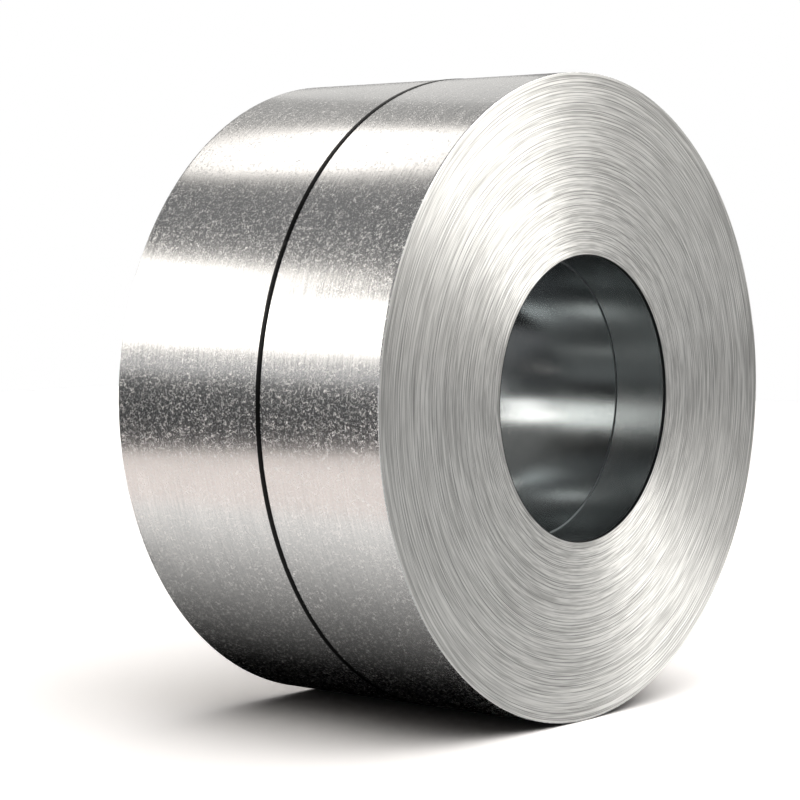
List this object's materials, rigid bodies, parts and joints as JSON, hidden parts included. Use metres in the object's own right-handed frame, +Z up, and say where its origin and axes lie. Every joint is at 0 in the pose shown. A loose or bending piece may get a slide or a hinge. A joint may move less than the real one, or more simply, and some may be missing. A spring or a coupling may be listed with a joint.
{
  "type": "steel coil",
  "caption": "Coil of bright steel strip lying on its round side, with a cylindrical bore, wound edges showing on both ends and a narrow black steel band round its middle.",
  "frame": {"origin": "bottom centre of the bounding box, on the floor that the coil lies on, under the coil's axis", "axes": "+Y along the coil's axis towards its back end, +Z up, +X to the right seen from the front end"},
  "size_m": [1.1615, 0.597, 1.1615],
  "materials": {
    "strip": "bright zinc-coated strip with fine flecks, sheared edges on the ends",
    "strap": "black painted steel strapping, semi-gloss",
    "seal": "black painted crimped strap seal, semi-gloss"
  },
  "bodies": {
    "root": {"coil": "strip", "strap": "strap", "strap_seal": "seal"}
  },
  "joints": []
}
